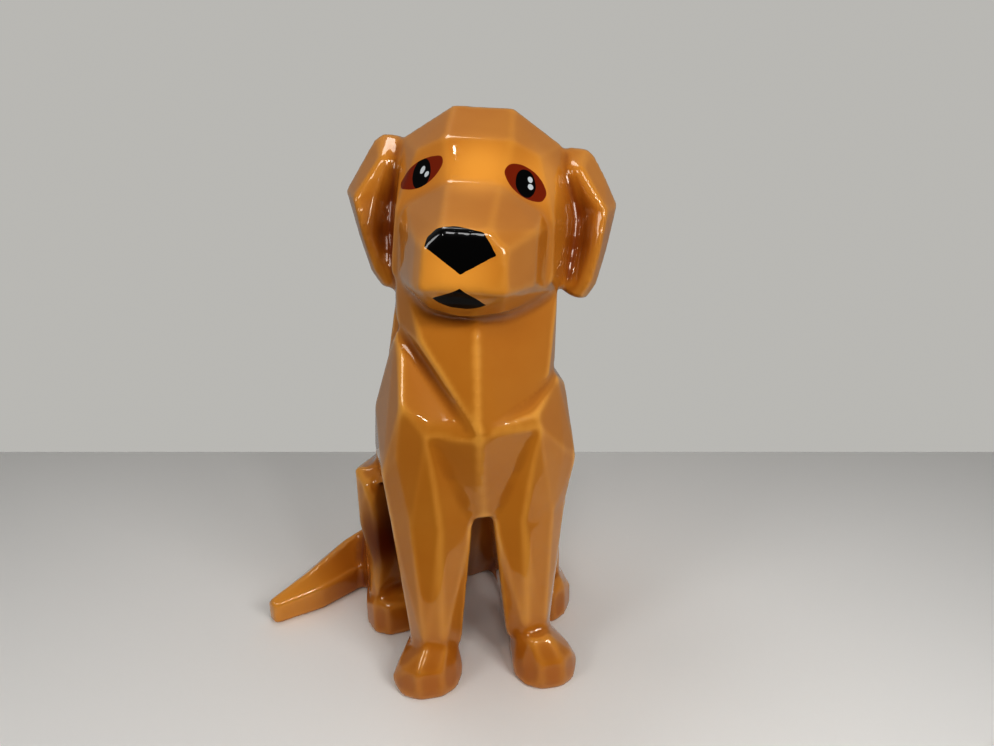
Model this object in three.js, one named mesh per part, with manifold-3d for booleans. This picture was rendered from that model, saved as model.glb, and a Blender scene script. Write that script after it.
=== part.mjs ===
// Sitting dog figurine: one slip-cast, glazed ceramic piece with broad flat facets.
// Millimetres, +Z up. The dog faces -Y, its own right side is at -X, and it sits on z = 0.
// The origin is under the middle of the finished figure's box.
import * as THREE from 'three';
import { ConvexGeometry } from 'three/addons/geometries/ConvexGeometry.js';
import * as BufferGeometryUtils from 'three/addons/utils/BufferGeometryUtils.js';
import Module from 'manifold-3d';

const wasm = await Module();
wasm.setup();

const RIGHT = -1;
const LEFT = 1;

// How the head sits on the neck: it looks to the dog's right, up, and leans to its left.
const HEAD = { x: 9.5, y: 76, z: 256, turn: 14.5, lift: 14, lean: 2.7 };

// What differs between the two sides of the dog: how far forward the toes stand, the paw's middle
// and width, how wide ankle, elbow, knee and rear foot are, where the front leg's inner crease and
// the shoulder's tip lie, where the neck's edge meets the shoulder and how the shoulder slopes up
// from it, the place along the flank from which the neck is wider than the shoulder, and in the
// head's own frame the edge of the flew beside the muzzle's front, how far out cheek, ear and ear
// fold are, how high the ear starts and how far it hangs in.
const STANCE = {
  [RIGHT]: {
    toe: 7, pawMiddle: 31.8, pawWide: 1.06, ankleIn: 12, creaseIn: 23, elbowOut: 50, kneeOut: 62.5,
    rearToe: 62, rearWide: 62, shoulderTip: [43, 27, 136],
    collarMid: [28.5, 28, 192], collarTop: [38, 47, 200],
    slope: [[39.8, 26.5, 163], [37, 39, 187], [38.5, 48, 196]], neckStart: 3,
    flew: [[22.5, -62.5, -28.5], [23.5, -60, -50]],
    cheek: 43, earTop: 29, earOut: 0, earFold: 53.5, earTuck: 0.18,
  },
  [LEFT]: {
    toe: 1, pawMiddle: 33.5, pawWide: 1, ankleIn: 13.5, creaseIn: 20.5, elbowOut: 53.5, kneeOut: 61.5,
    rearToe: 54, rearWide: 65, shoulderTip: [44, 27, 132],
    collarMid: [36, 32, 169.5], collarTop: [43.5, 46, 173],
    slope: [[42.5, 38, 168], [50, 48, 160]], neckStart: 2,
    flew: [[31, -47.5, -20.3], [31, -46.5, -45]],
    cheek: 50, earTop: 27, earOut: 1, earFold: 58, earTuck: 0,
  },
};

const point = ([x, y, z]) => new THREE.Vector3(x, y, z);

// A closed mesh as a solid that can be joined and cut.
function solid(geometry) {
  const bare = geometry.clone();
  bare.deleteAttribute('normal');
  bare.deleteAttribute('uv');
  const merged = BufferGeometryUtils.mergeVertices(bare, 1e-4);
  const vertProperties = Float32Array.from(merged.attributes.position.array);
  const triVerts = Uint32Array.from(merged.index.array);
  return new wasm.Manifold(new wasm.Mesh({ numProp: 3, vertProperties, triVerts }));
}

// The flat-faced convex form around a few corners.
const block = (corners) => solid(new ConvexGeometry(corners.map(point)));

// A row of sections joined two by two, so that the form bends without losing its flat faces.
function chain(sections) {
  const links = sections.slice(1).map((next, i) => block([...sections[i], ...next]));
  return join(links);
}

const join = (solids) => solids.reduce((whole, next) => whole.add(next));

// The same corners on one side of the dog, and on both.
const onSide = (side, corners) => corners.map(([x, y, z]) => [side * x, y, z]);
const onBoth = (corners) => [...onSide(RIGHT, corners), ...onSide(LEFT, corners)];

// Where the flank is widest, from the elbow up to the back of the neck. The shoulder ends on its
// lowest places and the neck on the upper ones, so that they run into the back without a ledge.
const FLANK = [[51, 78, 120], [50, 68, 148], [42.5, 64, 173], [37, 62, 206], [33, 72, 232]];
const SHOULDER_PLACES = 3;

// Chest, belly, back and rump, as rings from the floor to the back of the neck.
// Each ring runs from the front ridge by the flank to the spine.
function torso() {
  const rings = [
    [[10, 112, 0], [26, 118, 0], [42, 138, 0], [34, 162, 0], [10, 173, 0]],
    [[8, 82, 46], [24, 88, 46], [50, 118, 50], [43, 156, 45], [12, 176, 40]],
    [[6, 40, 118], [26, 44, 118], FLANK[0], [42, 130, 115], [12, 149, 127]],
    [[6, 40, 148], [30, 44, 148], FLANK[1], [38, 116, 142], [11.5, 134, 154]],
    [[6, 40, 173], [30, 44, 173], FLANK[2], [34, 104, 168], [11, 120, 180]],
    [[6, 46, 206], [30, 50, 206], FLANK[3], [31, 92, 208], [9, 107, 214]],
    [[6, 60, 232], [24, 60, 232], FLANK[4], [27, 94, 234], [8, 106, 238]],
  ];
  return chain(rings.map(onBoth));
}

// Chest between the front legs: two facets that meet on the ridge and run down to a point.
function chest() {
  const ridge = [[-4, 9.5, 150], [0.5, 20.5, 99]];
  const facets = [[27, 18, 149], [5, 21.5, 99]];
  const behind = [[30, 60, 150], [30, 60, 104], [4, 60, 100]];
  return block([...ridge, ...onBoth(facets), ...onBoth(behind)]);
}

// Neck with its ridge down the throat. Its lower edge stands proud of the shoulders as a V
// and sinks into the flanks on both sides.
function neck() {
  const ridge = [[-4.5, 9, 151], [-2, 22.5, 203], [-2, 27, 222]];
  const edge = [RIGHT, LEFT].flatMap((side) => onSide(side, [
    [6, 13.5, 153.5],
    STANCE[side].collarMid,
    STANCE[side].collarTop,
  ]));
  const underJaw = [
    [-34, 38.5, 225], [-37.5, 47, 217], [-37, 52, 226], [44, 46, 212], [42, 60, 222],
  ];
  const inside = [[0, 60, 150]];
  const nape = [RIGHT, LEFT].flatMap((side) => onSide(side, FLANK.slice(STANCE[side].neckStart)));
  return block([...ridge, ...edge, ...underJaw, ...inside, ...nape]);
}

// Front leg from the ankle up to the shoulder. Each section runs from the inner edge over
// two front creases to the outer edge and round the back.
function frontLeg(side) {
  const { ankleIn, creaseIn, elbowOut, shoulderTip } = STANCE[side];
  const ankle = [
    [ankleIn, 25, 20], [24, 16, 20], [33, 17, 20], [39, 28, 20], [37, 48, 20], [15, 46, 20],
  ];
  const elbow = [
    [5, 22, 99], [creaseIn, 17, 97], [37.5, 22, 97], [47, 32, 97], [47, 68, 97], [8, 64, 99],
  ];
  const top = [
    [27, 17.6, 149], [28.5, 17.5, 149], shoulderTip, [elbowOut, 35, 122], FLANK[0], [12, 74, 124],
  ];
  return chain([ankle, elbow, top].map((section) => onSide(side, section)));
}

// Shoulder: the sloping plane between the top of the front leg and the edge of the neck,
// and the facets that turn down from it to the flank.
function shoulder(side) {
  const { elbowOut, shoulderTip, slope } = STANCE[side];
  const front = [
    [0.5, 10.6, 150.3], [2, 11.8, 154.5], [27, 19, 156], [28.5, 17.5, 149],
    shoulderTip, [elbowOut, 35, 122],
  ];
  const inside = [[12, 40, 126], [8, 40, 150]];
  const flank = FLANK.slice(0, SHOULDER_PLACES);
  return block(onSide(side, [...front, ...slope, ...flank, ...inside]));
}

// Front paw: a round-cornered block that slopes up from the toes to the ankle.
function frontPaw(side) {
  const { toe, pawMiddle, pawWide } = STANCE[side];
  const corners = [
    [-6, 0, 0], [6, 0, 0], [-14, 5, 0], [14, 5, 0], [-18, 14, 0], [17, 14, 0], [-16, 36, 0], [6, 38, 0],
    [-6.5, -0.5, 6], [6.5, -0.5, 6], [-18.5, 14, 7], [18.5, 14, 7],
    [-6, 1.5, 16.5], [6.5, 1.5, 16.5], [-14, 9, 15], [13.5, 9, 15], [-16.5, 18, 15], [14, 18, 15],
    [-9.5, 9.5, 27], [0.5, 9.5, 28], [-16, 18, 24], [5, 18, 24], [-16, 38, 20], [4, 38, 20],
  ];
  return block(corners.map(([x, y, z]) => [side * (pawMiddle + x * pawWide), toe + y, z]));
}

// Haunch: the thigh with its knee beside the elbow, the narrower hock and the shank on the floor.
function haunch(side) {
  const { kneeOut } = STANCE[side];
  const knee = [
    [46, 80, 105], [63, 82, 104], [58, 71, 98], [55, 68, 88], [kneeOut, 75, 72], [42, 76, 76],
    [57, 114, 86], [44, 128, 94], [34, 110, 96],
  ];
  const hock = [
    [42, 72, 48], [53, 68.5, 50], [57.5, 73, 47], [60, 112, 48],
    [56, 144, 46], [42, 162, 46], [30, 158, 50],
  ];
  const floor = [
    [36, 84, 20], [55.5, 70, 24], [59.5, 76, 20], [60, 78, 0], [60.5, 112, 0],
    [55, 148, 0], [40, 165, 0], [30, 168, 0], [30, 112, 0],
  ];
  return chain([knee, hock, floor].map((section) => onSide(side, section)));
}

// Rear foot, flat on the floor under the knee.
function rearFoot(side) {
  const { rearToe, rearWide } = STANCE[side];
  return block(onSide(side, [
    [36, rearToe + 2, 0], [50, rearToe, 0], [58, rearToe + 5, 0], [rearWide, rearToe + 16, 0],
    [60, 118, 0], [26, rearToe + 16, 0], [22, 118, 0],
    [36, rearToe + 4, 19], [50, rearToe + 2, 20], [58, rearToe + 7, 19], [rearWide, rearToe + 17, 14],
    [38, rearToe + 9, 23], [56, rearToe + 9, 25], [58, 112, 26], [28, 112, 24],
  ]));
}

// Tail: leaves the rump on the right of the spine and lies on the floor beside the dog.
function tail() {
  const stations = [
    { at: [4, 152], wide: 40, crest: 26, high: 40 },
    { at: [-38, 150], wide: 42, crest: 22, high: 36 },
    { at: [-72, 127], wide: 34, crest: 18, high: 31 },
    { at: [-95, 106], wide: 24, crest: 16, high: 24 },
    { at: [-119, 91], wide: 9, crest: 13, high: 16 },
  ];
  const rings = stations.map(({ at, wide, crest, high }, i) => {
    const before = stations[Math.max(i - 1, 0)].at;
    const after = stations[Math.min(i + 1, stations.length - 1)].at;
    const along = new THREE.Vector2(after[0] - before[0], after[1] - before[1]).normalize();
    const across = new THREE.Vector2(-along.y, along.x);
    const spot = (offset, z) => [at[0] + across.x * offset * wide, at[1] + across.y * offset * wide, z];
    return [spot(0.46, 0), spot(0.5, crest), spot(0.02, high), spot(-0.4, crest), spot(-0.46, 0)];
  });
  return chain(rings);
}

// Skull from the crown to the cheeks, in the head's own frame: x to the dog's left, y back, z up,
// from the middle between the ears.
function skull() {
  const crown = [[15, -6, 43], [13, 28, 40], [40.5, -1, 27], [36, 34, 24]];
  const brow = [[16, -27, 23], [30, -22, 17], [12.5, -37, 1.5], [37, -22, -2]];
  const jowl = [[38, -30, -14], [39, -28, -43]];
  const back = [[27, 45, 10], [28, 47, -14], [25, 38, -38]];
  const under = [[20, -18, -54], [22, 14, -50]];
  const cheeks = [RIGHT, LEFT].flatMap((side) => {
    const out = STANCE[side].cheek;
    return onSide(side, [[out, 1, -8], [out - 3, 3, -41]]);
  });
  return block([...onBoth([...crown, ...brow, ...jowl, ...back, ...under]), ...cheeks]);
}

// Muzzle with its sloping bridge and flat front.
function muzzle() {
  const bridge = [[12.5, -36.8, 1.3], [32.5, -33, -11], [37, -28, -16], [36, -28, -43]];
  const front = [[10.5, -72, -24], [18, -70.5, -31.5], [19, -68, -51], [9, -70, -48.5]];
  const flews = [RIGHT, LEFT].flatMap((side) => onSide(side, STANCE[side].flew));
  return block([...onBoth([...bridge, ...front]), ...flews]);
}

// Lower jaw: a narrow ledge turns in under the lip and the cheek, and the jaw slopes down from it.
function jaw() {
  const ledge = [
    [16, -66.5, -48], [18, -66, -51.5], [28.5, -46, -48.5], [35.3, -28, -43.2], [35, -27, -46.5],
  ];
  const lowerEdge = [[10, -62, -55.5], [3, -53, -61], [16.5, -48, -58.5], [27, -28, -54.5]];
  const inside = [[28, -6, -56]];
  const ends = [RIGHT, LEFT].flatMap((side) => {
    const { cheek, flew } = STANCE[side];
    const [out, along, low] = flew[1];
    return onSide(side, [
      [out - 0.7, along, low - 0.2], [cheek - 3.7, 2, -41.2], [cheek - 6, -7, -45], [cheek - 8, -9, -46.5],
    ]);
  });
  return block([...onBoth([...ledge, ...lowerEdge, ...inside]), ...ends]);
}

// Hanging ear: a thick flap whose front edge stands away from the cheek. Each ring runs from
// the fold behind the front edge over that edge and the outer edge to the back and the root,
// and the valley between fold and cheek is closed at its bottom.
function ear(side) {
  const { cheek, earTop, earOut, earFold, earTuck } = STANCE[side];
  const rings = [
    [[43, 3, earTop], [52, 3, earTop], [56.5, 4, earTop - 3], [50, 18, earTop - 1], [38, 18, earTop - 2]],
    [[46, -9, 14.5], [50, -10, 15], [62.5, 4, 14.5], [57, 21, 14], [38, 25, 14], [38, 8, 14.5]],
    [[earFold, -9, -6], [63.5, -12, -6.5], [70.3, 4, -0.5], [63, 23, -3], [38, 27, -5]],
    [[57, -9, -24], [61.5, -11.5, -24], [66.4, 3.5, -24], [59, 19, -24], [40, 23, -24]],
    [[53, -6.5, -41], [58, -8.5, -41], [62.2, 2, -42], [56, 13, -42], [45, 14, -40]],
    [[50.5, -3.5, -49], [54, -4, -49.5], [57.5, 2, -49.5], [53, 7, -49.5], [48.5, 7, -48]],
  ];
  const valley = [
    [], [], [[cheek - 5, 8, -6]], [[cheek - 5, 8, -24]], [[cheek - 7, 8, -41]], [[cheek - 5, 1, -45.5]],
  ];
  const hangOut = ([x, y, z]) => [x + earOut + Math.min(z, 0) * earTuck, y, z];
  return chain(rings.map((ring, i) => onSide(side, [...ring.map(hangOut), ...valley[i]])));
}

function head() {
  const own = join([skull(), muzzle(), jaw(), ear(LEFT), ear(RIGHT)]);
  const { x, y, z, turn, lift, lean } = HEAD;
  return own.rotate([0, lean, 0]).rotate([-lift, 0, 0]).rotate([0, 0, -turn]).translate([x, y, z]);
}

// A solid as faceted geometry, with the middle of its box over the origin and its foot on z = 0.
function toGeometry(whole) {
  const { numProp, vertProperties, triVerts } = whole.getMesh();
  const positions = new Float32Array((vertProperties.length / numProp) * 3);
  for (let i = 0; i < positions.length / 3; i += 1) {
    positions.set(vertProperties.subarray(i * numProp, i * numProp + 3), i * 3);
  }
  const geometry = new THREE.BufferGeometry();
  geometry.setAttribute('position', new THREE.BufferAttribute(positions, 3));
  geometry.setIndex(new THREE.BufferAttribute(Uint32Array.from(triVerts), 1));
  geometry.computeBoundingBox();
  const { min, max } = geometry.boundingBox;
  geometry.translate(-(min.x + max.x) / 2, -(min.y + max.y) / 2, -min.z);
  return geometry.toNonIndexed();
}

const pieces = [torso(), chest(), neck(), tail(), head()];
for (const side of [RIGHT, LEFT]) {
  pieces.push(frontLeg(side), shoulder(side), frontPaw(side), haunch(side), rearFoot(side));
}

const glaze = new THREE.MeshStandardMaterial({ color: '#b8752c', roughness: 0.15, metalness: 0 });
glaze.flatShading = true;
const geometry = toGeometry(join(pieces));
geometry.computeVertexNormals();
const figurine = new THREE.Mesh(geometry, glaze);
figurine.name = 'dog_figurine';

const group = new THREE.Group();
group.add(figurine);
export default group;
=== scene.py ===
"""Sitting dog figurine in honey-brown glazed ceramic.

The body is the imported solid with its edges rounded, as a coat of glaze rounds a cast body.
Eyes, nose and mouth are painted on it. Lengths in the fields are millimetres unless a name
says otherwise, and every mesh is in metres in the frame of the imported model: the dog faces -Y,
its left side is at +X, and it stands on Z = 0.
"""

import logging
import math
from dataclasses import dataclass
from enum import Enum
from typing import Any, Mapping, Sequence

import bmesh
import bpy
from mathutils import Euler, Matrix, Vector

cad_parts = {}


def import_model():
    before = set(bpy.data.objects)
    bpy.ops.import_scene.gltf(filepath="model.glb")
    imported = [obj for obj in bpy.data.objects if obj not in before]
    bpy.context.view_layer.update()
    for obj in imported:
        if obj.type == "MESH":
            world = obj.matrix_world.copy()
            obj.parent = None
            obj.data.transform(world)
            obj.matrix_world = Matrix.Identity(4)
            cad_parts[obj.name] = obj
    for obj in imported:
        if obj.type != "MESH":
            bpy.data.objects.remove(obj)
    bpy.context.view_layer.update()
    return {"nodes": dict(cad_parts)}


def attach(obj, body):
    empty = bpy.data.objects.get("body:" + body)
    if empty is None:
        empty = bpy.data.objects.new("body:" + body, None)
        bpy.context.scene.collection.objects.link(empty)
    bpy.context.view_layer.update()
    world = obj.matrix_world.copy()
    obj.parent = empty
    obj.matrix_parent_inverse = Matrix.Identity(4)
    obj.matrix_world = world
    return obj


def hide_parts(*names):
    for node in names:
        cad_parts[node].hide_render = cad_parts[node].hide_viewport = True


MM = 0.001
# Colour of the painted light spots.
PAINTED_LIGHT_AMBER = "#F0AA4C"
# Colour of the painted shade around the ear folds.
EAR_FOLD_SHADE = "#86440F"
PAINT_BLACK = "#040303"
LOG = logging.getLogger("dog_figurine")

Socket = bpy.types.NodeSocket


def linear(hex_colour: str) -> tuple[float, float, float, float]:
    """Turns an sRGB hex colour into linear red, green, blue and alpha.

    Args:
        hex_colour: The colour as "#RRGGBB".

    Returns:
        The linear values, with alpha 1.
    """
    parts = [int(hex_colour[i : i + 2], 16) / 255 for i in (1, 3, 5)]
    red, green, blue = (
        p / 12.92 if p <= 0.04045 else ((p + 0.055) / 1.055) ** 2.4 for p in parts
    )
    return red, green, blue, 1.0


def add_node(
    tree: bpy.types.NodeTree,
    kind: str,
    settings: Mapping[str, Any] | None = None,
    inputs: Mapping[Any, Any] | None = None,
) -> bpy.types.Node:
    """Adds one node, with its settings, its input values and its links.

    Args:
        tree: The node tree that gets the node.
        kind: The node's type name.
        settings: Properties of the node.
        inputs: Input name or number to a value, or to the socket that feeds it.

    Returns:
        The new node.
    """
    node = tree.nodes.new(kind)
    for name, value in (settings or {}).items():
        setattr(node, name, value)
    for key, value in (inputs or {}).items():
        if isinstance(value, Socket):
            tree.links.new(value, node.inputs[key])
        else:
            node.inputs[key].default_value = value
    return node


def calculated(tree: bpy.types.NodeTree, operation: str, *values: Socket | float) -> Socket:
    """Adds a Math node and returns its result."""
    return add_node(
        tree, "ShaderNodeMath", {"operation": operation}, dict(enumerate(values))
    ).outputs[0]


def measured(tree: bpy.types.NodeTree, operation: str, *values: Socket | Vector) -> Socket:
    """Adds a Vector Math node and returns the number that it finds."""
    return add_node(
        tree, "ShaderNodeVectorMath", {"operation": operation}, dict(enumerate(values))
    ).outputs["Value"]


def component(tree: bpy.types.NodeTree, where: Socket, axis: str) -> Socket:
    """Adds the node that takes one axis, "X", "Y" or "Z", out of a vector."""
    return add_node(tree, "ShaderNodeSeparateXYZ", {}, {0: where}).outputs[axis]


def noise(tree: bpy.types.NodeTree, where: Socket, size: float, detail: float) -> bpy.types.Node:
    """Adds a soft noise with waves of a size in millimetres."""
    scale = 1 / (size * MM)
    return add_node(
        tree, "ShaderNodeTexNoise", {}, {"Vector": where, "Scale": scale, "Detail": detail}
    )


def ramp(
    tree: bpy.types.NodeTree,
    value: Socket,
    start: float,
    end: float,
    low: float = 0.0,
    high: Socket | float = 1.0,
    curve: str = "SMOOTHSTEP",
) -> Socket:
    """Adds the node of a soft ramp.

    Args:
        tree: The node tree that gets the node.
        value: What the ramp follows.
        start: The value from which the ramp leaves its low end.
        end: The value at which it reaches its high end.
        low: The result at the start and before it.
        high: The result at the end and after it.
        curve: The interpolation type.

    Returns:
        The result, from low to high.
    """
    limits = {"From Min": start, "From Max": end, "To Min": low, "To Max": high}
    node = add_node(
        tree, "ShaderNodeMapRange", {"interpolation_type": curve}, {"Value": value, **limits}
    )
    return node.outputs["Result"]


class Mixture(Enum):
    """What a Mix node mixes: its data type and the numbers of its two inputs and its output."""

    COLOUR = ("RGBA", 6, 7, 2)
    NUMBER = ("FLOAT", 2, 3, 0)


def mixed(
    tree: bpy.types.NodeTree, kind: Mixture, share: Socket, under: Any, over: Any
) -> Socket:
    """Adds the node that lays one colour or number over another.

    Args:
        tree: The node tree that gets the node.
        kind: What is mixed.
        share: How much of the upper one shows, from 0 to 1.
        under: The lower one, as a value or as the socket that feeds it.
        over: The upper one, in the same way.

    Returns:
        The mixed colour or number.
    """
    data_type, lower, upper, result = kind.value
    node = add_node(
        tree,
        "ShaderNodeMix",
        {"data_type": data_type},
        {0: share, lower: under, upper: over},
    )
    return node.outputs[result]


class Side(Enum):
    """A side of the dog, as the sign of X."""

    RIGHT = -1
    LEFT = 1


@dataclass(frozen=True)
class HeadPose:
    """Where the head's own frame is: x to the dog's left, y back, z up, from between the ears."""

    place: tuple[float, float, float] = (30.513, -9.915, 256.0)
    turn_deg: float = 14.5
    lift_deg: float = 14.0
    lean_deg: float = 2.7

    def rotation(self) -> Matrix:
        """Combines the head's lean, lift and turn.

        Returns:
            The rotation from the head's frame to the model's.
        """
        turn = Matrix.Rotation(-math.radians(self.turn_deg), 3, "Z")
        lift = Matrix.Rotation(-math.radians(self.lift_deg), 3, "X")
        lean = Matrix.Rotation(math.radians(self.lean_deg), 3, "Y")
        return turn @ lift @ lean

    def point(self, place: Sequence[float]) -> Vector:
        """Returns a place of the head's frame in the model's frame, in millimetres."""
        return Vector(self.place) + self.rotation() @ Vector(place)


@dataclass(frozen=True)
class PaintedFace:
    """A facet that carries paint, with flat coordinates: x sideways, y up, z outwards."""

    head: HeadPose
    centre: tuple[float, float, float]
    outwards: tuple[float, float, float]

    def axes(self, turn_deg: float = 0.0) -> Matrix:
        """Finds the facet's axes in the model's frame.

        Args:
            turn_deg: How far they are turned about the outward one.

        Returns:
            The axes as the columns of a rotation.
        """
        outwards = Vector(self.outwards).normalized()
        sideways = Vector((0, 0, 1)).cross(outwards).normalized()
        upwards = outwards.cross(sideways)
        flat = Matrix((sideways, upwards, outwards)).transposed()
        spin = Matrix.Rotation(math.radians(turn_deg), 3, "Z")
        return self.head.rotation() @ flat @ spin

    def placed(
        self,
        tree: bpy.types.NodeTree,
        where: Socket,
        at: tuple[float, float] = (0.0, 0.0),
        turn_deg: float = 0.0,
        half_sizes: tuple[float, float] | None = None,
    ) -> Socket:
        """Adds the node that brings object coordinates into the facet.

        Args:
            tree: The material's node tree.
            where: Object coordinates.
            at: The new origin on the facet.
            turn_deg: How far x is turned from sideways towards up.
            half_sizes: Half sizes that become 1, with depth flattened, or None to keep metres.

        Returns:
            The coordinates on the facet.
        """
        centre = self.head.point(self.centre) + self.axes() @ Vector((*at, 0))
        scale = Vector((1, 1, 1))
        if half_sizes:
            flattened = 1e6
            scale = Vector((*half_sizes, flattened)) * MM
        node = add_node(
            tree,
            "ShaderNodeMapping",
            {"vector_type": "TEXTURE"},
            {
                "Vector": where,
                "Location": centre * MM,
                "Rotation": self.axes(turn_deg).to_euler("XYZ"),
                "Scale": scale,
            },
        )
        return node.outputs[0]


@dataclass(frozen=True)
class Oval:
    """An oval on a facet, by its middle, half sizes and turn."""

    at: tuple[float, float]
    half_sizes: tuple[float, float]
    turn_deg: float = 0.0

    @classmethod
    def bowed(cls, start: Vector, end: Vector, rise: float) -> "Oval":
        """Finds the circle whose arc joins two points.

        Args:
            start: Where the arc starts.
            end: Where it ends.
            rise: How far it bows out, to the left of the straight way from start to end.

        Returns:
            The circle.
        """
        along = end - start
        leftwards = Vector((-along.y, along.x)).normalized()
        half = along.length / 2
        radius = (half * half + rise * rise) / (2 * rise)
        centre = (start + end) / 2 + leftwards * (rise - radius)
        return cls(tuple(centre), (radius, radius))

    def inside(self, tree: bpy.types.NodeTree, where: Socket, face: PaintedFace) -> Socket:
        """Adds the nodes that measure how far inside the oval a point is.

        Args:
            tree: The material's node tree.
            where: Object coordinates.
            face: The facet that the oval lies on.

        Returns:
            The depth inside the outline in metres, negative outside.
        """
        placed = face.placed(tree, where, self.at, self.turn_deg, self.half_sizes)
        length = measured(tree, "LENGTH", placed)
        size = min(self.half_sizes) * MM
        return calculated(tree, "MULTIPLY_ADD", length, -size, size)


@dataclass(frozen=True)
class StraightEdge:
    """A straight outline on a facet, by a point on it and the direction of the painted side."""

    at: tuple[float, float]
    inwards_deg: float

    @classmethod
    def between(
        cls, start: tuple[float, float], end: tuple[float, float]
    ) -> "StraightEdge":
        """Returns the edge from start to end, with the painted side on its left."""
        along = math.degrees(math.atan2(end[1] - start[1], end[0] - start[0]))
        return cls(at=start, inwards_deg=along + 90)

    @classmethod
    def across(cls, tip: Vector, inwards_deg: float, depth: float) -> "StraightEdge":
        """Finds the edge that cuts a pointed tip off.

        Args:
            tip: The point.
            inwards_deg: The direction from the tip into the paint.
            depth: How far behind the tip the cut lies.

        Returns:
            The edge, square to its direction.
        """
        angle = math.radians(inwards_deg)
        step = Vector((math.cos(angle), math.sin(angle)))
        return cls(tuple(tip + step * depth), inwards_deg)

    def inside(self, tree: bpy.types.NodeTree, where: Socket, face: PaintedFace) -> Socket:
        """Adds the nodes that measure how far inside the edge a point is.

        Args:
            tree: The material's node tree.
            where: Object coordinates.
            face: The facet that the edge lies on.

        Returns:
            The depth inside the edge in metres, negative outside.
        """
        return component(tree, face.placed(tree, where, self.at, self.inwards_deg), "X")


@dataclass(frozen=True)
class PaintedPatch:
    """One flat patch of paint: the space inside all its outlines, with rounded corners.

    Its gloss is the share of the glaze's mirror shine that it keeps.
    """

    name: str
    colour: str
    face: PaintedFace
    outlines: tuple[Oval | StraightEdge, ...]
    corner: float = 0.8
    gloss: float = 0.25
    soft_edge: float = 0.12
    reach: float = 14.0

    def mask(self, tree: bpy.types.NodeTree, where: Socket) -> Socket:
        """Adds the nodes of the patch's mask.

        Args:
            tree: The material's node tree.
            where: Object coordinates.

        Returns:
            A value that is 1 in the patch and 0 outside it.
        """
        depth, *others = (
            outline.inside(tree, where, self.face) for outline in self.outlines
        )
        for other in others:
            depth = calculated(tree, "SMOOTH_MIN", depth, other, self.corner * MM)
        covered = ramp(tree, depth, -self.soft_edge * MM, self.soft_edge * MM)
        outwards = component(tree, self.face.placed(tree, where), "Z")
        in_front = calculated(tree, "GREATER_THAN", outwards, -self.reach * MM)
        mask = calculated(tree, "MULTIPLY", covered, in_front)
        mask.node.label = self.name
        return mask


@dataclass(frozen=True)
class EyePaint:
    """The paint of one eye: a red-brown leaf shape, a black pupil and two pale dots in it.

    The leaf has two tips, cut off by a blunt length, and bulges above and below them.
    """

    side: Side
    head: HeadPose
    centre: tuple[float, float, float]
    tips: tuple[tuple[float, float], tuple[float, float]]
    bulge: tuple[float, float]
    blunt: float
    pupil: Oval
    dots: tuple[Oval, Oval]
    field_colour: str = "#7E2C0C"
    field_corner: float = 2.4
    pupil_colour: str = PAINT_BLACK
    pupil_corner: float = 0.6
    dot_colour: str = "#C4C8CA"
    brow_outwards: tuple[float, float, float] = (0.435, -0.84, 0.325)

    def face(self) -> PaintedFace:
        """Places the brow facet that the eye is painted on.

        Returns:
            The facet, mirrored for the dog's right side.
        """
        sideways, ahead, upwards = self.brow_outwards
        outwards = (self.side.value * sideways, ahead, upwards)
        return PaintedFace(self.head, self.centre, outwards)

    def outlines(self) -> tuple[Oval | StraightEdge, ...]:
        """Outlines the leaf shape.

        Returns:
            Its upper and lower arc and its two blunt ends.
        """
        start, end = (Vector(tip) for tip in self.tips)
        above, below = self.bulge
        along = end - start
        tilt = math.degrees(math.atan2(along.y, along.x))
        return (
            Oval.bowed(start, end, above),
            Oval.bowed(end, start, below),
            StraightEdge.across(start, tilt, self.blunt),
            StraightEdge.across(end, tilt + 180, self.blunt),
        )

    def patches(self) -> list[PaintedPatch]:
        """Lists the eye's patches.

        Returns:
            The patches, from the lowest coat to the last dot.
        """
        name = self.side.name.lower()
        face = self.face()
        field = self.outlines()
        pupil = (*field, self.pupil)
        return [
            PaintedPatch(
                f"eye_field_{name}", self.field_colour, face, field, self.field_corner
            ),
            PaintedPatch(f"pupil_{name}", self.pupil_colour, face, pupil, self.pupil_corner),
            *(
                PaintedPatch(f"dot_{name}_{number}", self.dot_colour, face, (dot,))
                for number, dot in enumerate(self.dots, 1)
            ),
        ]


@dataclass(frozen=True)
class NosePaint:
    """The black nose, painted over the end of the muzzle."""

    head: HeadPose
    corners: tuple[tuple[float, float], ...] = (
        (-17.3, -0.3),
        (-1.3, -11.2),
        (13.7, -2.5),
        (7.9, 6.5),
        (-4.6, 9.1),
        (-12.4, 7.6),
        (-16.4, 4.2),
    )
    centre: tuple[float, float, float] = (0, -71, -31)
    outwards: tuple[float, float, float] = (0, -0.98, 0.2)
    colour: str = PAINT_BLACK
    rounding: float = 0.9
    gloss: float = 1.0

    def patches(self) -> list[PaintedPatch]:
        """Lists the nose's patches.

        Returns:
            The one patch inside all its corners.
        """
        face = PaintedFace(self.head, self.centre, self.outwards)
        following = (*self.corners[1:], self.corners[0])
        edges = tuple(StraightEdge.between(a, b) for a, b in zip(self.corners, following))
        return [PaintedPatch("nose", self.colour, face, edges, self.rounding, self.gloss)]


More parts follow.
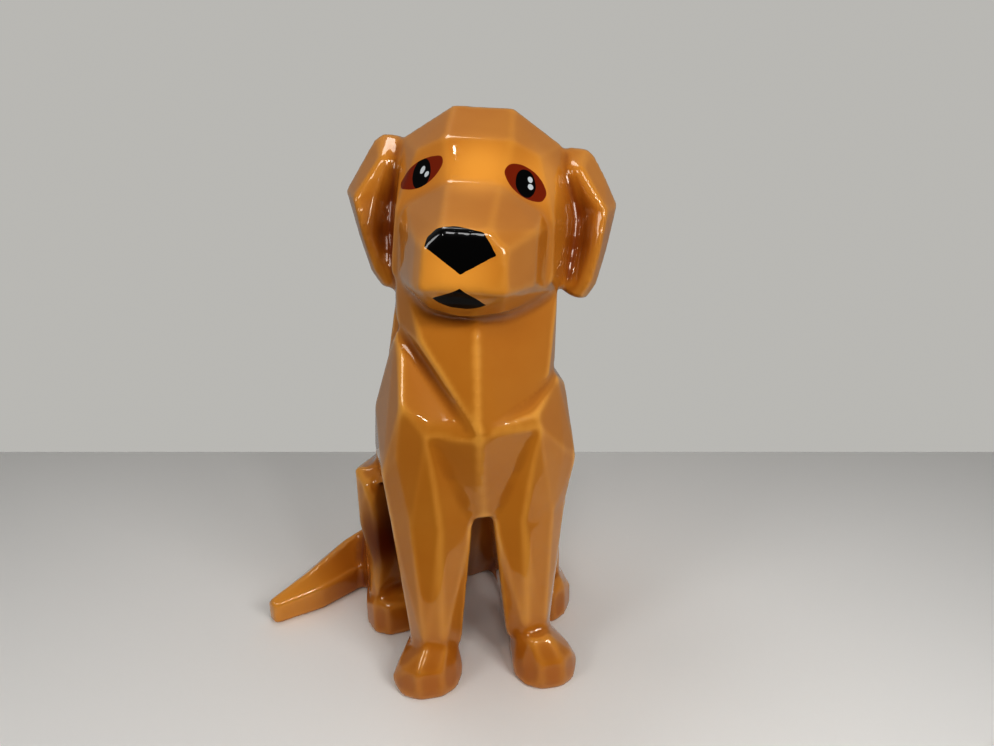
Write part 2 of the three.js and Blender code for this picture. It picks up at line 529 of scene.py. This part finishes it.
@dataclass(frozen=True)
class MouthPaint:
    """The black mouth: a point up under the nose, two thin corners and a curved lower edge."""

    head: HeadPose
    left_tip: tuple[float, float] = (-13.6, 0.3)
    right_tip: tuple[float, float] = (10.1, -2.1)
    top: tuple[float, float] = (-1.2, 7.3)
    drop: float = 4.5
    centre: tuple[float, float, float] = (0, -63, -53)
    outwards: tuple[float, float, float] = (0, -0.85, -0.53)
    colour: str = PAINT_BLACK
    rounding: float = 0.3

    def patches(self) -> list[PaintedPatch]:
        """Lists the mouth's patches.

        Returns:
            The one patch under the two straight edges, down to the arc.
        """
        face = PaintedFace(self.head, self.centre, self.outwards)
        outlines = (
            StraightEdge.between(self.right_tip, self.top),
            StraightEdge.between(self.top, self.left_tip),
            Oval.bowed(Vector(self.right_tip), Vector(self.left_tip), self.drop),
        )
        return [PaintedPatch("mouth", self.colour, face, outlines, self.rounding)]


@dataclass(frozen=True)
class PaintedShadingSpot:
    """A round spot of painted light, or of painted shade where its colour is dark.

    It is placed in the head's frame, or in the model's frame where there is no head. Its
    strength is the share of its colour in the middle.
    """

    place: tuple[float, float, float]
    radius: float
    strength: float
    colour: str
    head: HeadPose | None = None

    def share(self, tree: bpy.types.NodeTree, where: Socket) -> Socket:
        """Adds the nodes that fade the spot out from its middle.

        Args:
            tree: The material's node tree.
            where: Object coordinates.

        Returns:
            The spot's share, from its strength in the middle to 0 at the radius.
        """
        centre = self.head.point(self.place) if self.head else Vector(self.place)
        away = measured(tree, "DISTANCE", where, centre * MM)
        return ramp(
            tree, away, self.radius * MM, 0.0, high=self.strength, curve="SMOOTHERSTEP"
        )

    def over(self, tree: bpy.types.NodeTree, where: Socket, colour: Socket) -> Socket:
        """Adds the nodes that lay the spot's colour over another and returns the result."""
        share = self.share(tree, where)
        return mixed(tree, Mixture.COLOUR, share, colour, linear(self.colour))


@dataclass(frozen=True)
class EdgeFade:
    """Where the pale edges fade out, by two heights and the share that is left of them."""

    faint_at: float
    full_at: float
    least: float

    def share(self, tree: bpy.types.NodeTree, height: Socket) -> Socket:
        """Adds the node that gives the pale edges' share at a height in metres."""
        return ramp(tree, height, self.faint_at * MM, self.full_at * MM, low=self.least)


@dataclass(frozen=True)
class HoneyGlaze:
    """Amber gloss glaze on slip-cast earthenware, dipped and fired.

    The glassy coat runs off the edges, where the buff clay shows through, and pools dark in
    the folds. The pale edges are partly a painted highlight, and the dark folds partly painted
    shade. It mirrors the room, a little unevenly, because glaze never sets quite flat. The
    painted light spots are paler, and the painted shade recesses darker and duller. The colour
    is darker towards the bottom. An edge's tone begins at a share, starts_at, of the roundness
    at which it is full.
    """

    body: str = "#BE7A28"
    run: str = "#C98A38"
    run_size: float = 26.0
    run_detail: float = 3.0
    # The colour turns darker towards the bottom.
    lower_colour: str = "#AC681E"
    darker_below: float = 48.0
    # Painted light: pale spots on the forehead, the left brow, the muzzle and the tail.
    painted_light_spots: tuple[PaintedShadingSpot, ...] = (
        PaintedShadingSpot((2, -34, 8), 28.0, 0.85, PAINTED_LIGHT_AMBER, HeadPose()),
        PaintedShadingSpot((33, -22, 6), 25.0, 0.6, PAINTED_LIGHT_AMBER, HeadPose()),
        PaintedShadingSpot((-5, -72, -43), 34.0, 0.9, PAINTED_LIGHT_AMBER, HeadPose()),
        PaintedShadingSpot((-86, 4, 14), 52.0, 0.7, "#DC9C44"),
    )
    # Pale rounded edges: thin glaze, and a painted highlight along them.
    thin_glaze_and_highlight: str = "#E3A650"
    thin_and_highlight_at: float = 0.45
    # Dark folds: pooled glaze, and painted shade in them.
    pooled_glaze_and_shade: str = "#7A3206"
    pooled_and_shade_at: float = 0.85
    starts_at: float = 0.08
    paw_edges: EdgeFade = EdgeFade(faint_at=10.0, full_at=52.0, least=0.25)
    head_edges: EdgeFade = EdgeFade(faint_at=218.0, full_at=192.0, least=0.35)
    # Painted shade: darker, duller spots on the right haunch's inner side and around the ear
    # folds.
    painted_shade_recesses: tuple[PaintedShadingSpot, ...] = (
        PaintedShadingSpot((-24, -20, 62), 42.0, 1.0, "#6A2A04"),
        PaintedShadingSpot((-47, 3, -21), 28.0, 0.8, EAR_FOLD_SHADE, HeadPose()),
        PaintedShadingSpot((50, 5, -16), 28.0, 0.8, EAR_FOLD_SHADE, HeadPose()),
    )
    recess_gloss: float = 0.35
    peel_size: float = 9.0
    peel_detail: float = 1.5
    peel_height: float = 0.015
    wobble: float = 0.25
    wobble_size: float = 5.0
    wobble_detail: float = 1.0
    clay_roughness: float = 0.32
    clay_ior: float = 1.5
    clay_mirror: float = 0.15
    coat_roughness: float = 0.035
    coat_ior: float = 1.52

    def material(self, paints: Sequence[PaintedPatch]) -> bpy.types.Material:
        """Builds the glaze with the painted patches on it.

        Args:
            paints: The patches, from the lowest coat to the last.

        Returns:
            The finished material.
        """
        material = bpy.data.materials.new("honey_glaze")
        material.use_nodes = True
        tree = material.node_tree
        tree.nodes.clear()
        where = add_node(tree, "ShaderNodeTexCoord").outputs["Object"]
        colour, gloss = self.painted(tree, where, self.glaze_colour(tree, where), paints)
        surface = self.uneven_surface(tree, where)
        shader = add_node(
            tree,
            "ShaderNodeBsdfPrincipled",
            {},
            {
                "Base Color": colour,
                "Roughness": self.clay_roughness,
                "IOR": self.clay_ior,
                "Specular IOR Level": self.clay_mirror,
                "Coat Weight": gloss,
                "Coat Roughness": self.coat_roughness,
                "Coat IOR": self.coat_ior,
                "Normal": surface,
                "Coat Normal": surface,
            },
        )
        add_node(
            tree, "ShaderNodeOutputMaterial", {}, {"Surface": shader.outputs["BSDF"]}
        )
        return material

    def glaze_colour(self, tree: bpy.types.NodeTree, where: Socket) -> Socket:
        """Adds the nodes of the glaze's colour, by how thick it lies, with painted light and
        painted shade.

        Args:
            tree: The material's node tree.
            where: Object coordinates.

        Returns:
            The colour socket.
        """
        runs = noise(tree, where, self.run_size, self.run_detail).outputs["Fac"]
        colour = mixed(tree, Mixture.COLOUR, runs, linear(self.body), linear(self.run))
        height = component(tree, where, "Z")
        # Darker towards the bottom.
        lower_share = ramp(tree, height, self.darker_below * MM, 0.0)
        colour = mixed(tree, Mixture.COLOUR, lower_share, colour, linear(self.lower_colour))
        # Painted light spots.
        for spot in self.painted_light_spots:
            colour = spot.over(tree, where, colour)
        edge = add_node(
            tree, "ShaderNodeAttribute", {"attribute_name": GlazedBody.ATTRIBUTE}
        ).outputs["Fac"]
        # Pale edges, partly a painted highlight, and dark folds, partly pooled glaze and painted
        # shade.
        for limit, tone, most in (
            (self.thin_and_highlight_at, self.thin_glaze_and_highlight, self.pale_edge_share(tree, height)),
            (-self.pooled_and_shade_at, self.pooled_glaze_and_shade, 1.0),
        ):
            share = ramp(tree, edge, limit * self.starts_at, limit, high=most)
            colour = mixed(tree, Mixture.COLOUR, share, colour, linear(tone))
        # Painted shade in the recesses.
        for spot in self.painted_shade_recesses:
            colour = spot.over(tree, where, colour)
        return colour

    def pale_edge_share(self, tree: bpy.types.NodeTree, height: Socket) -> Socket:
        """Adds the nodes that keep the pale edges, partly a painted highlight, strong on the body
        alone.

        Args:
            tree: The material's node tree.
            height: The height above the floor in metres.

        Returns:
            The share of the pale edges: 1 on the body, less on the paws and the head.
        """
        fades = (fade.share(tree, height) for fade in (self.paw_edges, self.head_edges))
        return calculated(tree, "MULTIPLY", *fades)

    def painted(
        self,
        tree: bpy.types.NodeTree,
        where: Socket,
        colour: Socket,
        paints: Sequence[PaintedPatch],
    ) -> tuple[Socket, Socket]:
        """Adds the painted patches over the glaze, with the small wobble of a brush.

        Args:
            tree: The material's node tree.
            where: Object coordinates.
            colour: The glaze's colour.
            paints: The patches, from the lowest coat to the last.

        Returns:
            The colour with the paint on it, and how strong the mirror shine is.
        """
        waves = noise(tree, where, self.wobble_size, self.wobble_detail)
        wobble = Vector((1, 1, 1)) * self.wobble * MM
        brushed = add_node(
            tree,
            "ShaderNodeVectorMath",
            {"operation": "MULTIPLY_ADD"},
            {0: waves.outputs["Color"], 1: wobble * 2, 2: where},
        )
        centred = add_node(
            tree,
            "ShaderNodeVectorMath",
            {"operation": "SUBTRACT"},
            {0: brushed.outputs[0], 1: wobble},
        ).outputs[0]
        shine: list[tuple[Socket, float]] = [
            (spot.share(tree, where), self.recess_gloss) for spot in self.painted_shade_recesses
        ]
        for patch in paints:
            mask = patch.mask(tree, centred)
            shine.append((mask, patch.gloss))
            colour = mixed(tree, Mixture.COLOUR, mask, colour, linear(patch.colour))
        gloss: Socket | float = 1.0
        for share, level in shine:
            gloss = mixed(tree, Mixture.NUMBER, share, gloss, level)
        return colour, gloss

    def uneven_surface(self, tree: bpy.types.NodeTree, where: Socket) -> Socket:
        """Adds the nodes of the low waves in the fired glaze.

        Args:
            tree: The material's node tree.
            where: Object coordinates.

        Returns:
            The bumped normal.
        """
        waves = noise(tree, where, self.peel_size, self.peel_detail)
        bump = add_node(
            tree,
            "ShaderNodeBump",
            {},
            {
                "Strength": 1.0,
                "Distance": self.peel_height * MM,
                "Height": waves.outputs["Fac"],
            },
        )
        return bump.outputs["Normal"]


@dataclass
class GlazedBody:
    """The cast body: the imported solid, with every edge rounded by slip and glaze."""

    cad_node: str = "dog_figurine"
    point_spacing: float = 1.55
    fine_spacing: float = 0.9
    fill_radius: float = 2.6
    press_back: float = 0.2
    crease_passes: int = 24
    rounding_passes: int = 3
    last_passes: int = 6
    fold_passes: int = 24
    fold_depth: float = 0.6
    least_share: float = 0.1
    softer_passes: int = 24
    pass_strength: float = 0.5
    fill_weight: float = 0.1
    weld: float = 0.01

    ATTRIBUTE = "edge_roundness_and_fill"

    def sharp_copy(self, nodes: Mapping[str, bpy.types.Object]) -> bpy.types.Object:
        """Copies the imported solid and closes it.

        Args:
            nodes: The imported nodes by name.

        Returns:
            A new object that isn't in the scene.
        """
        mesh = nodes[self.cad_node].data.copy()
        work = bmesh.new()
        work.from_mesh(mesh)
        bmesh.ops.remove_doubles(work, verts=work.verts, dist=self.weld * MM)
        work.to_mesh(mesh)
        work.free()
        return bpy.data.objects.new("sharp_form", mesh)

    def formed(
        self, start: bpy.types.Object, steps: Sequence[tuple[str, Mapping[str, Any]]]
    ) -> bpy.types.Object:
        """Works a copy of a form through modifiers and applies them.

        Args:
            start: The form to start from, which stays as it is.
            steps: Modifier types with their settings, in order.

        Returns:
            The worked form as a new object, linked to the scene.
        """
        form = bpy.data.objects.new("form", start.data)
        bpy.context.scene.collection.objects.link(form)
        for kind, settings in steps:
            modifier = form.modifiers.new(kind.lower(), kind)
            for name, value in settings.items():
                setattr(modifier, name, value)
        seen = form.evaluated_get(bpy.context.evaluated_depsgraph_get())
        mesh = bpy.data.meshes.new_from_object(seen)
        form.modifiers.clear()
        form.data = mesh
        return form

    def even_points(self, spacing: float) -> tuple[str, Mapping[str, Any]]:
        """Returns the step that gives a form evenly spaced points."""
        return "REMESH", {"mode": "VOXEL", "voxel_size": spacing * MM}

    def swollen(self, growth: float) -> tuple[str, Mapping[str, Any]]:
        """Returns the step that moves a form's surface outwards."""
        return "DISPLACE", {"mid_level": 0.0, "strength": growth * MM}

    def smoothed(self, passes: int) -> tuple[str, Mapping[str, Any]]:
        """Returns the step that smooths a form."""
        return "SMOOTH", {"factor": self.pass_strength, "iterations": passes}

    def rounded(self, sharp: bpy.types.Object) -> bpy.types.Object:
        """Bridges the sharp form's narrow folds and rounds its edges.

        Swelling closes a narrow fold, and shrinking leaves it filled. A last smoothing of the
        filled folds alone takes out the steps of the even points.

        Args:
            sharp: The sharp form, linked to the scene.

        Returns:
            The rounded form.
        """
        on_sharp = {"target": sharp, "wrap_method": "NEAREST_SURFACEPOINT"}
        fine = self.formed(
            sharp,
            [
                self.even_points(self.fine_spacing),
                self.swollen(self.fill_radius),
                self.even_points(self.fine_spacing),
                self.smoothed(self.crease_passes),
                self.swollen(-self.fill_radius - self.press_back),
                ("SHRINKWRAP", {**on_sharp, "wrap_mode": "OUTSIDE"}),
                self.smoothed(self.rounding_passes),
            ],
        )
        on_fine = {"target": fine, "wrap_method": "NEAREST_SURFACEPOINT"}
        coarse = self.formed(
            fine,
            [
                self.even_points(self.point_spacing),
                ("SHRINKWRAP", on_fine),
                self.smoothed(self.last_passes),
            ],
        )
        bpy.data.objects.remove(fine)
        folds = coarse.vertex_groups.new(name="folds")
        for point in coarse.data.vertices:
            share = self.filled(point.co, sharp) / self.fold_depth
            if share > self.least_share:
                folds.add([point.index], min(1.0, share), "REPLACE")
        step, settings = self.smoothed(self.fold_passes)
        body = self.formed(coarse, [(step, {**settings, "vertex_group": folds.name})])
        bpy.data.objects.remove(coarse)
        return body

    def filled(self, place: Vector, sharp: bpy.types.Object) -> float:
        """Returns how far a place lies outside the sharp form, in millimetres."""
        _, nearest, outwards, _ = sharp.closest_point_on_mesh(place)
        return max(0.0, (place - nearest).dot(outwards)) / MM

    def build(
        self, nodes: Mapping[str, bpy.types.Object], material: bpy.types.Material
    ) -> bpy.types.Object:
        """Builds the glazed body.

        Args:
            nodes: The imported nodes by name.
            material: The glaze with its paint.

        Returns:
            The finished piece.
        """
        sharp = self.sharp_copy(nodes)
        bpy.context.scene.collection.objects.link(sharp)
        body = self.rounded(sharp)
        body.name = "glazed_body"
        softer = self.formed(body, [self.smoothed(self.softer_passes)])
        mesh = body.data
        mesh.name = "glazed_body"
        mesh.shade_smooth()
        # Edge roundness less the filled folds: it drives the pale edges, partly a painted
        # highlight, and the dark folds, partly painted shade.
        bend = mesh.attributes.new(self.ATTRIBUTE, "FLOAT", "POINT")
        for point, soft, value in zip(mesh.vertices, softer.data.vertices, bend.data):
            edge = (point.co - soft.co).dot(point.normal) / MM
            value.value = edge - self.filled(point.co, sharp) * self.fill_weight
        bpy.data.objects.remove(softer)
        bpy.data.objects.remove(sharp)
        mesh.materials.clear()
        mesh.materials.append(material)
        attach(body, "root")
        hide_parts(self.cad_node)
        return body


@dataclass(frozen=True)
class PaleFloor:
    """Matt, pale, plain floor of a photo studio, square to the camera."""

    near_edge: float = -150.0
    far_edge: float = 222.0
    half_width: float = 900.0
    turn_deg: float = 12.0
    drop: float = 0.05
    colour: str = "#EDEBE8"
    roughness: float = 0.55

    def build(self) -> bpy.types.Object:
        """Builds the floor.

        Returns:
            The floor, linked to the scene.
        """
        mesh = bpy.data.meshes.new("pale_floor")
        work = bmesh.new()
        bmesh.ops.create_grid(work, x_segments=1, y_segments=1, size=1.0)
        half_depth = (self.far_edge - self.near_edge) / 2
        size = (self.half_width * MM, half_depth * MM, 1.0)
        bmesh.ops.scale(work, verts=work.verts, vec=size)
        middle = (self.near_edge + self.far_edge) / 2
        bmesh.ops.translate(work, verts=work.verts, vec=(0, middle * MM, -self.drop * MM))
        turn = Matrix.Rotation(-math.radians(self.turn_deg), 3, "Z")
        bmesh.ops.rotate(work, verts=work.verts, matrix=turn)
        work.to_mesh(mesh)
        work.free()
        material = bpy.data.materials.new("matt_pale_board")
        material.use_nodes = True
        shader = material.node_tree.nodes["Principled BSDF"]
        shader.inputs["Base Color"].default_value = linear(self.colour)
        shader.inputs["Roughness"].default_value = self.roughness
        mesh.materials.append(material)
        floor = bpy.data.objects.new("pale_floor", mesh)
        bpy.context.scene.collection.objects.link(floor)
        return floor


def direction(azimuth_deg: float, height_deg: float) -> Vector:
    """Turns two angles into a direction.

    Args:
        azimuth_deg: Counted from straight ahead of the dog to its left.
        height_deg: Counted from level to straight up.

    Returns:
        The direction as a unit vector.
    """
    azimuth, height = math.radians(azimuth_deg), math.radians(height_deg)
    level = math.cos(height)
    return Vector((math.sin(azimuth) * level, -math.cos(azimuth) * level, math.sin(height)))


@dataclass(frozen=True)
class SoftLight:
    """A square studio light that looks at the dog's head, or at another point it is given."""

    name: str
    azimuth_deg: float
    height_deg: float
    distance_m: float
    size_m: float
    watts: float
    colour: str = "#FFFFFF"
    aim_m: tuple[float, float, float] = (0.03, -0.05, 0.24)

    def build(self) -> bpy.types.Object:
        """Hangs the light.

        Returns:
            The lamp, linked to the scene.
        """
        away = direction(self.azimuth_deg, self.height_deg)
        data = bpy.data.lights.new(self.name, "AREA")
        data.shape = "SQUARE"
        data.size = self.size_m
        data.energy = self.watts
        data.color = linear(self.colour)[:3]
        lamp = bpy.data.objects.new(self.name, data)
        lamp.location = Vector(self.aim_m) + away * self.distance_m
        lamp.rotation_euler = away.to_track_quat("Z", "Y").to_euler()
        bpy.context.scene.collection.objects.link(lamp)
        return lamp


@dataclass(frozen=True)
class PaleRoom:
    """Pale room around the dog, dim on the side that its face looks to."""

    pale: str = "#E2E3E2"
    pale_strength: float = 0.3
    dim: str = "#4A4642"
    dim_azimuth_deg: float = -12.0
    dim_height_deg: float = 8.0
    dim_within_deg: float = 40.0
    pale_beyond_deg: float = 95.0
    backdrop: str = "#A7A6A3"

    def build(self) -> bpy.types.World:
        """Builds the room as the scene's world.

        Returns:
            The world. What the picture shows above the floor is the plain backdrop colour.
        """
        world = bpy.data.worlds.new("pale_room")
        world.use_nodes = True
        tree = world.node_tree
        tree.nodes.clear()
        where = add_node(tree, "ShaderNodeTexCoord").outputs["Generated"]
        dim_way = direction(self.dim_azimuth_deg, self.dim_height_deg)
        towards = measured(tree, "DOT_PRODUCT", where, dim_way)
        beyond, within = (
            math.cos(math.radians(angle))
            for angle in (self.pale_beyond_deg, self.dim_within_deg)
        )
        dimness = ramp(tree, towards, beyond, within)
        walls = mixed(tree, Mixture.COLOUR, dimness, linear(self.pale), linear(self.dim))
        lit = add_node(
            tree,
            "ShaderNodeBackground",
            {},
            {"Color": walls, "Strength": self.pale_strength},
        )
        seen = add_node(tree, "ShaderNodeBackground", {}, {"Color": linear(self.backdrop)})
        ray = add_node(tree, "ShaderNodeLightPath")
        either = add_node(
            tree,
            "ShaderNodeMixShader",
            {},
            {0: ray.outputs["Is Camera Ray"], 1: lit.outputs[0], 2: seen.outputs[0]},
        )
        add_node(tree, "ShaderNodeOutputWorld", {}, {"Surface": either.outputs[0]})
        bpy.context.scene.world = world
        return world


@dataclass(frozen=True)
class Studio:
    """Plain soft studio light: the pale room, five lights near the dog and two far lamps.

    Each light has two angles in degrees, its distance and size in metres and its watts.
    """

    room: PaleRoom = PaleRoom()
    lights: tuple[SoftLight, ...] = (
        SoftLight("key_light", 31, 17, 0.47, 0.15, 0.7),
        SoftLight("upper_light", 17.2, 32.3, 0.84, 0.09, 0.8),
        SoftLight("top_light", -150, 70, 0.5, 0.15, 0.3),
        SoftLight("left_light", -62, 22, 0.6, 0.2, 0.62),
        SoftLight("wide_light", -12, 36, 1.2, 0.4, 3.0),
        SoftLight("far_lamp_high", -29.4, 73.7, 2.0, 0.016, 0.06, aim_m=(0.012, -0.031, 0.279)),
        SoftLight("far_lamp_low", -31, 20, 2.0, 0.07, 0.6),
    )

    def build(self) -> None:
        """Lights the room and hangs the lamps."""
        self.room.build()
        for light in self.lights:
            light.build()
        view = bpy.context.scene.view_settings
        view.view_transform = "Standard"
        view.look = "High Contrast"


@dataclass(frozen=True)
class PortraitCamera:
    """The camera at the picture's viewing angle."""

    place_m: tuple[float, float, float] = (-0.04249, -0.3969, 0.302)
    turn_deg: float = 12.0
    down_deg: float = 20.0
    focal_pixels: float = 750.0
    picture_pixels: float = 994.0
    sensor_width: float = 36.0
    nearest_m: float = 0.01

    def build(self) -> bpy.types.Object:
        """Sets the camera up and makes it the scene's camera.

        Returns:
            The camera.
        """
        data = bpy.data.cameras.new("portrait_camera")
        data.sensor_fit = "HORIZONTAL"
        data.sensor_width = self.sensor_width
        data.lens = self.sensor_width * self.focal_pixels / self.picture_pixels
        data.clip_start = self.nearest_m
        camera = bpy.data.objects.new("portrait_camera", data)
        camera.location = self.place_m
        tilt = math.radians(90 - self.down_deg)
        camera.rotation_euler = Euler((tilt, 0, -math.radians(self.turn_deg)))
        bpy.context.scene.collection.objects.link(camera)
        bpy.context.scene.camera = camera
        return camera


def face_paint(head: HeadPose) -> list[PaintedPatch]:
    """Lists the paint of eyes, nose and mouth.

    Args:
        head: How the head stands.

    Returns:
        The patches, from the lowest coat to the last.
    """
    right_eye = EyePaint(
        side=Side.RIGHT,
        head=head,
        centre=(-26.1, -28.8, 4.9),
        tips=((-13.5, -5.6), (10.9, 9.0)),
        bulge=(5.4, 8.8),
        blunt=1.4,
        pupil=Oval((0.0, 0.0), (5.0, 8.2), 8.0),
        dots=(Oval((0.1, 2.1), (1.25, 2.1), -14.0), Oval((3.0, -0.2), (1.15, 1.6), -14.0)),
    )
    left_eye = EyePaint(
        side=Side.LEFT,
        head=head,
        centre=(23.8, -30.8, 2.7),
        tips=((-10.9, 7.9), (10.9, -7.4)),
        bulge=(8.0, 7.6),
        blunt=1.6,
        pupil=Oval((0.0, 0.0), (5.3, 7.2), -6.0),
        dots=(Oval((2.7, 2.2), (1.35, 1.65)), Oval((2.4, -1.5), (1.5, 1.5))),
    )
    return [
        *right_eye.patches(),
        *left_eye.patches(),
        *NosePaint(head).patches(),
        *MouthPaint(head).patches(),
    ]


def main() -> None:
    """Builds the figurine, its floor, light and camera, and logs the body's face count."""
    logging.basicConfig(level=logging.INFO, format="%(name)s: %(message)s")
    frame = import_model()
    PortraitCamera().build()
    Studio().build()
    PaleFloor().build()
    glaze = HoneyGlaze().material(face_paint(HeadPose()))
    body = GlazedBody().build(frame["nodes"], glaze)
    LOG.info("%s: %d faces", body.name, len(body.data.polygons))


if __name__ == "__main__":
    main()
